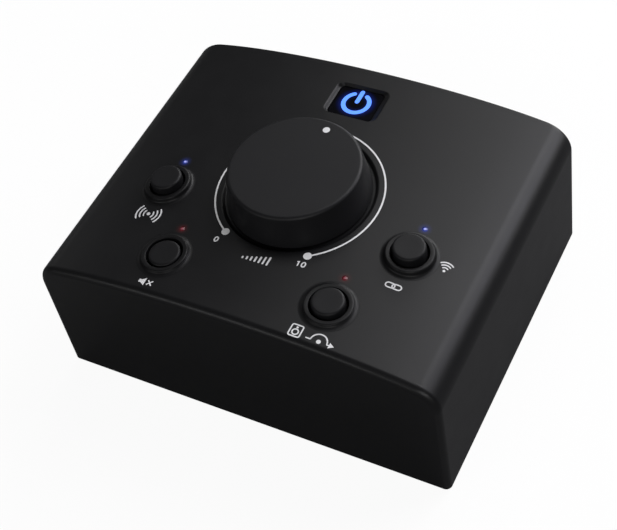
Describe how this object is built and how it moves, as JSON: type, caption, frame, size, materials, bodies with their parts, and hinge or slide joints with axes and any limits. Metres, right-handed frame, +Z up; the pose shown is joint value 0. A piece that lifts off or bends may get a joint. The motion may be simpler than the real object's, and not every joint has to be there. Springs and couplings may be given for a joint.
{
  "type": "studio monitor controller",
  "caption": "Desk-top controller for studio loudspeakers: crowned black box with a large volume knob, round push buttons, indicator lights and rear sockets.",
  "frame": {"origin": "on the desk, at the middle of the overall footprint", "axes": "+X to the right seen from the front, +Y to the rear panel, +Z up; the front wall faces -Y"},
  "size_m": [0.14, 0.1146, 0.0681],
  "materials": {
    "shell_plastic": "fine satin moulded black",
    "knob_plastic": "smooth satin black",
    "pointer_white": "white print",
    "foot_rubber": "matt black",
    "plate_steel": "zinc-plated sheet",
    "panel_paint": "satin black paint",
    "black_screw": "black coated",
    "zinc_screw": "zinc plated",
    "board_green": "green solder mask",
    "ribbon_grey": "grey ribbed cable",
    "pot_steel": "pressed steel can",
    "nickel": "nickel plated",
    "socket_plastic": "moulded black",
    "switch_plastic": "moulded black",
    "blue_light": "lit blue",
    "red_light": "lit red",
    "smoked_lens": "gloss smoked black",
    "white_plastic": "white moulded"
  },
  "bodies": {
    "casing": {"aux_jack": "socket_plastic", "base_plate": "plate_steel", "base_screw_1": "zinc_screw", "base_screw_2": "zinc_screw", "base_screw_3": "zinc_screw", "base_screw_4": "zinc_screw", "control_board": "board_green", "control_board_screw_left": "zinc_screw", "control_board_screw_right": "zinc_screw", "dc_inlet": "socket_plastic", "foot_front_left": "foot_rubber", "foot_front_right": "foot_rubber", "foot_rear_left": "foot_rubber", "foot_rear_right": "foot_rubber", "left_output_jack": "socket_plastic", "left_output_nut": "nickel", "main_board": "board_green", "main_board_screw_left": "zinc_screw", "main_board_screw_right": "zinc_screw", "mute_collar": "shell_plastic", "mute_light_chip": "red_light", "mute_light_pipe": "red_light", "mute_switch": "socket_plastic", "pair_collar": "shell_plastic", "pair_light_chip": "blue_light", "pair_light_pipe": "blue_light", "pair_switch": "socket_plastic", "phono_jack_pair": "socket_plastic", "power_switch_housing": "switch_plastic", "rear_panel": "panel_paint", "rear_screw_left": "black_screw", "rear_screw_right": "black_screw", "ribbon_cable": "ribbon_grey", "right_output_jack": "socket_plastic", "right_output_nut": "nickel", "sub_bypass_collar": "shell_plastic", "sub_bypass_light_chip": "red_light", "sub_bypass_light_pipe": "red_light", "sub_bypass_switch": "socket_plastic", "sub_output_jack": "socket_plastic", "sub_output_nut": "nickel", "top_shell": "shell_plastic", "volume_pot_body": "pot_steel", "volume_pot_nut": "nickel", "window_lens": "smoked_lens", "window_light_box": "white_plastic", "window_light_chip": "blue_light", "wireless_collar": "shell_plastic", "wireless_light_chip": "blue_light", "wireless_light_pipe": "blue_light", "wireless_switch": "socket_plastic"},
    "volume": {"volume_knob": "knob_plastic", "volume_shaft": "nickel", "knob_pointer": "pointer_white"},
    "wireless": {"wireless_button": "knob_plastic"},
    "pair": {"pair_button": "knob_plastic"},
    "mute": {"mute_button": "knob_plastic"},
    "sub_bypass": {"sub_bypass_button": "knob_plastic"},
    "power": {"power_rocker": "switch_plastic"}
  },
  "joints": [
    {"name": "volume_turn", "type": "hinge", "parent": "casing", "child": "volume", "pos_m": [0, -0.00325, 0.0625], "axis": [0, 0, -1], "range_deg": [-157.3, 138.7]},
    {"name": "wireless_press", "type": "slide", "parent": "casing", "child": "wireless", "axis": [0, 0, -1], "range_m": [0, 0.0015], "stiffness_N_per_m": 600, "springref_m": -0.001},
    {"name": "pair_press", "type": "slide", "parent": "casing", "child": "pair", "axis": [0, 0, -1], "range_m": [0, 0.0015], "stiffness_N_per_m": 600, "springref_m": -0.001},
    {"name": "mute_press", "type": "slide", "parent": "casing", "child": "mute", "axis": [0, 0, -1], "range_m": [-0.0016, 0.0006]},
    {"name": "sub_bypass_press", "type": "slide", "parent": "casing", "child": "sub_bypass", "axis": [0, 0, -1], "range_m": [0, 0.0022]},
    {"name": "power_rock", "type": "hinge", "parent": "casing", "child": "power", "pos_m": [-0.04062, 0.05336, 0.03075], "axis": [0, 0, -1], "range_deg": [0, 20]}
  ]
}
